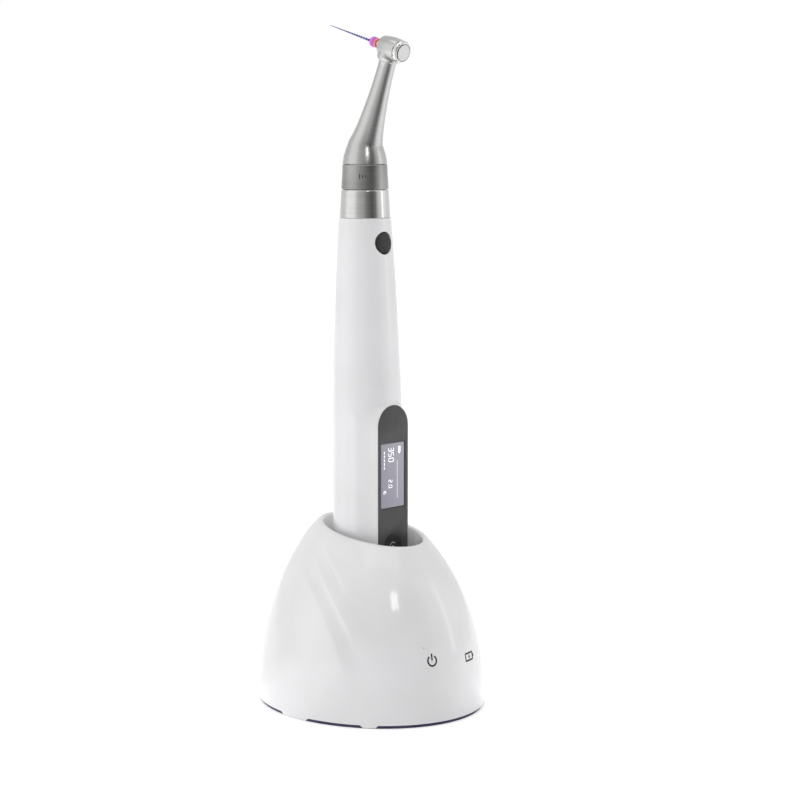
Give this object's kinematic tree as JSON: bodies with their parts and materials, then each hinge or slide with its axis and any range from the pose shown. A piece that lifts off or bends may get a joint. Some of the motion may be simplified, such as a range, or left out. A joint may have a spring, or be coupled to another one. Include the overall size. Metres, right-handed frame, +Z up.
{
  "type": "cordless endodontic handpiece with charging base",
  "caption": "Cordless root-canal handpiece with an apex-locating display, contra-angle head and rotary file, standing in a domed charging base.",
  "frame": {"origin": "middle of the base's underside, on the surface that it stands on", "axes": "+Z up, the display and keys face -Y, the file points to +Y, X = 0 is the plane of symmetry"},
  "size_m": [0.0732, 0.0834, 0.2309],
  "materials": {
    "white_plastic": "glossy white moulded plastic",
    "panel_black": "gloss black display panel",
    "key_black": "matt black key",
    "satin_steel": "satin steel",
    "polished_steel": "polished steel",
    "bearing_steel": "ground steel",
    "ballast_iron": "plain cast iron",
    "foot_rubber": "dark rubber",
    "board_green": "green circuit board",
    "inner_plastic": "matt white plastic",
    "black_plastic": "matt black plastic",
    "clear_plastic": "clear light pipe",
    "contact_gold": "gold-plated contact",
    "battery_wrap": "wrapped steel can",
    "lcd_glass": "lit liquid-crystal screen",
    "file_blue": "heat-treated nickel-titanium",
    "ring_pink": "pink size ring",
    "stop_purple": "purple silicone"
  },
  "bodies": {
    "base": {"base_shell": "white_plastic", "bottom_plate": "black_plastic", "foot_pad": "foot_rubber", "well_liner": "inner_plastic", "ballast_weight": "ballast_iron", "base_circuit_board": "board_green", "shell_screws": "bearing_steel", "board_screws": "bearing_steel", "pin_block": "black_plastic", "charge_springs": "bearing_steel", "power_light_pipe": "clear_plastic", "charge_light_pipe": "clear_plastic", "power_inlet": "black_plastic"},
    "charge_pins": {"charge_pins": "contact_gold"},
    "handpiece": {"handpiece_shell": "white_plastic", "tail_cap": "white_plastic", "contact_pads": "contact_gold", "battery": "battery_wrap", "display_lens": "panel_black", "lcd_module": "lcd_glass", "main_circuit_board": "board_green", "key_switches": "black_plastic", "button_board": "board_green", "motor_can": "bearing_steel", "motor_mount": "bearing_steel", "nose_collar": "polished_steel", "shaft_bearing": "bearing_steel", "nose_o_ring": "key_black", "lead_socket": "black_plastic"},
    "set_key": {"set_key": "key_black"},
    "mode_key": {"mode_key": "key_black"},
    "power_button": {"power_button": "key_black"},
    "motor_rotor": {"motor_rotor": "bearing_steel"},
    "index_ring": {"index_ring": "bearing_steel"},
    "contra_angle": {"ratio_sleeve": "satin_steel", "input_bush": "contact_gold", "ring_gear": "bearing_steel", "neck_bushes": "contact_gold", "head_body": "satin_steel", "spindle_bearings": "bearing_steel", "head_cap": "polished_steel", "button_spring": "bearing_steel"},
    "input_shaft": {"input_shaft": "bearing_steel"},
    "planet_carrier": {"planet_carrier": "bearing_steel"},
    "planet_1": {"planet_gear_1": "bearing_steel"},
    "planet_2": {"planet_gear_2": "bearing_steel"},
    "planet_3": {"planet_gear_3": "bearing_steel"},
    "neck_shaft": {"neck_shaft": "bearing_steel"},
    "spindle": {"spindle": "bearing_steel"},
    "head_button": {"head_button": "polished_steel"},
    "file": {"file_shank": "contact_gold", "file_ring": "ring_pink", "file_blade": "file_blue"},
    "file_stop": {"file_stop": "stop_purple"}
  },
  "joints": [
    {"name": "handpiece_lift", "type": "slide", "parent": "base", "child": "handpiece", "axis": [0, 0, 1], "range_m": [0, 0.06]},
    {"name": "charge_pin_travel", "type": "slide", "parent": "base", "child": "charge_pins", "axis": [0, 0, 1], "range_m": [-0.0005, 0], "stiffness_N_per_m": 600, "springref_m": 0.0005, "deforming": ["charge_springs"]},
    {"name": "power_button_press", "type": "slide", "parent": "handpiece", "child": "power_button", "axis": [0, 1, 0], "range_m": [0, 0.0004], "stiffness_N_per_m": 1500, "springref_m": -0.0004},
    {"name": "set_key_press", "type": "slide", "parent": "handpiece", "child": "set_key", "axis": [0, 1, 0], "range_m": [0, 0.0004], "stiffness_N_per_m": 1500, "springref_m": -0.0004},
    {"name": "mode_key_press", "type": "slide", "parent": "handpiece", "child": "mode_key", "axis": [0, 1, 0], "range_m": [0, 0.0004], "stiffness_N_per_m": 1500, "springref_m": -0.0004},
    {"name": "motor_spin", "type": "hinge", "parent": "handpiece", "child": "motor_rotor", "pos_m": [0, 0.00235, 0.135], "axis": [0, 0, 1], "continuous": true},
    {"name": "contra_angle_swivel", "type": "hinge", "parent": "handpiece", "child": "index_ring", "pos_m": [0, 0.00235, 0.178], "axis": [0, 0, 1], "range_deg": [-180, 180]},
    {"name": "contra_angle_pull", "type": "slide", "parent": "index_ring", "child": "contra_angle", "axis": [0, 0, 1], "range_m": [0, 0.03]},
    {"name": "input_spin", "type": "hinge", "parent": "contra_angle", "child": "input_shaft", "pos_m": [0, 0.00235, 0.178], "axis": [0, 0, 1], "continuous": true},
    {"name": "carrier_spin", "type": "hinge", "parent": "contra_angle", "child": "planet_carrier", "pos_m": [0, 0.00235, 0.178], "axis": [0, 0, 1], "continuous": true},
    {"name": "planet_1_spin", "type": "hinge", "parent": "planet_carrier", "child": "planet_1", "pos_m": [0.0036, 0.00235, 0.1837], "axis": [0, 0, 1], "continuous": true},
    {"name": "planet_2_spin", "type": "hinge", "parent": "planet_carrier", "child": "planet_2", "pos_m": [-0.0018, 0.00547, 0.1837], "axis": [0, 0, 1], "continuous": true},
    {"name": "planet_3_spin", "type": "hinge", "parent": "planet_carrier", "child": "planet_3", "pos_m": [-0.0018, -0.00077, 0.1837], "axis": [0, 0, 1], "continuous": true},
    {"name": "neck_shaft_spin", "type": "hinge", "parent": "contra_angle", "child": "neck_shaft", "pos_m": [0, 0.00235, 0.18945], "axis": [0, -0.3551, 0.9348], "continuous": true},
    {"name": "spindle_spin", "type": "hinge", "parent": "contra_angle", "child": "spindle", "pos_m": [0, -0.01015, 0.22235], "axis": [0, 0.9603, 0.279], "continuous": true},
    {"name": "head_button_press", "type": "slide", "parent": "contra_angle", "child": "head_button", "axis": [0, 0.9603, 0.279], "range_m": [0, 0.0007], "stiffness_N_per_m": 1200, "springref_m": -0.0004, "deforming": ["button_spring"]},
    {"name": "file_pull", "type": "slide", "parent": "spindle", "child": "file", "axis": [0, 0.9603, 0.279], "range_m": [0, 0.012]},
    {"name": "file_stop_slide", "type": "slide", "parent": "file", "child": "file_stop", "axis": [0, 0.9603, 0.279], "range_m": [0, 0.012]}
  ],
  "couplings": [
    {"joint": "input_spin", "follows": "motor_spin", "ratio": 1},
    {"joint": "carrier_spin", "follows": "motor_spin", "ratio": 0.25},
    {"joint": "planet_1_spin", "follows": "motor_spin", "ratio": -0.75},
    {"joint": "planet_2_spin", "follows": "motor_spin", "ratio": -0.75},
    {"joint": "planet_3_spin", "follows": "motor_spin", "ratio": -0.75},
    {"joint": "neck_shaft_spin", "follows": "motor_spin", "ratio": 0.25},
    {"joint": "spindle_spin", "follows": "motor_spin", "ratio": 0.0625}
  ]
}
